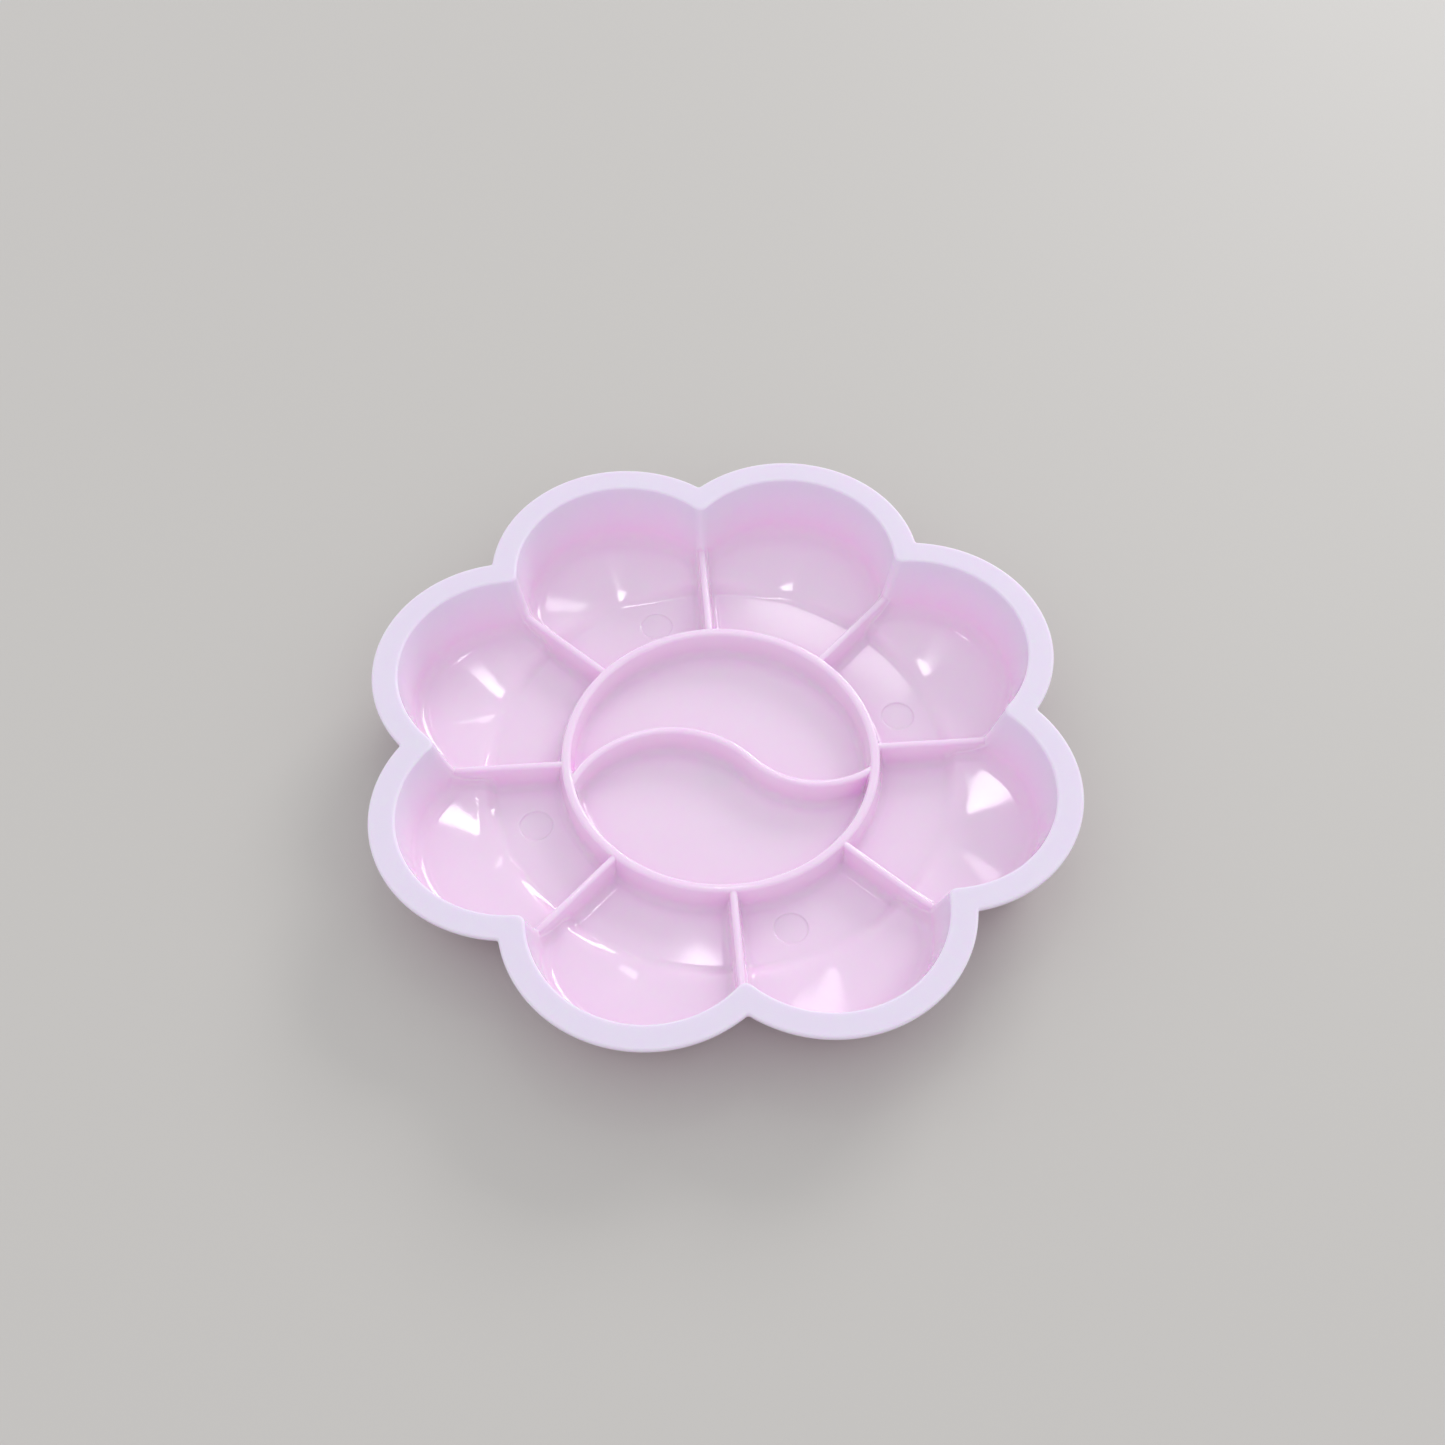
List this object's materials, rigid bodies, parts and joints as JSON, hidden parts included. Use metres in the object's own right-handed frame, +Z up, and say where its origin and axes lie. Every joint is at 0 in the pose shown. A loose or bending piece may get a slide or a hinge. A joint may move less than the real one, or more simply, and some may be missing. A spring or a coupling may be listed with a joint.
{
  "type": "mixing palette",
  "caption": "Flower-shaped moulded palette: petal wells round a flat floor, with a low ring and an S-shaped divider in the middle for mixing.",
  "frame": {"origin": "under the middle of the palette, on the surface it stands on", "axes": "+Z up out of the wells; +X and +Y each point along the middle of a petal, so the ribs lie half a petal pitch to each side"},
  "size_m": [0.17, 0.17, 0.0193],
  "materials": {
    "well_plastic": "milky translucent plastic, glossy, faintly pink",
    "rim_plastic": "the same milky plastic with a satin, finely grained top"
  },
  "bodies": {
    "root": {"rim_flange": "rim_plastic", "centre_floor": "well_plastic", "centre_ring": "well_plastic", "s_divider": "well_plastic", "petal_well_1": "well_plastic", "petal_well_2": "well_plastic", "petal_well_3": "well_plastic", "petal_well_4": "well_plastic", "petal_well_5": "well_plastic", "petal_well_6": "well_plastic", "petal_well_7": "well_plastic", "petal_well_8": "well_plastic", "radial_rib_1": "well_plastic", "radial_rib_2": "well_plastic", "radial_rib_3": "well_plastic", "radial_rib_4": "well_plastic", "radial_rib_5": "well_plastic", "radial_rib_6": "well_plastic", "radial_rib_7": "well_plastic", "radial_rib_8": "well_plastic"}
  },
  "joints": []
}
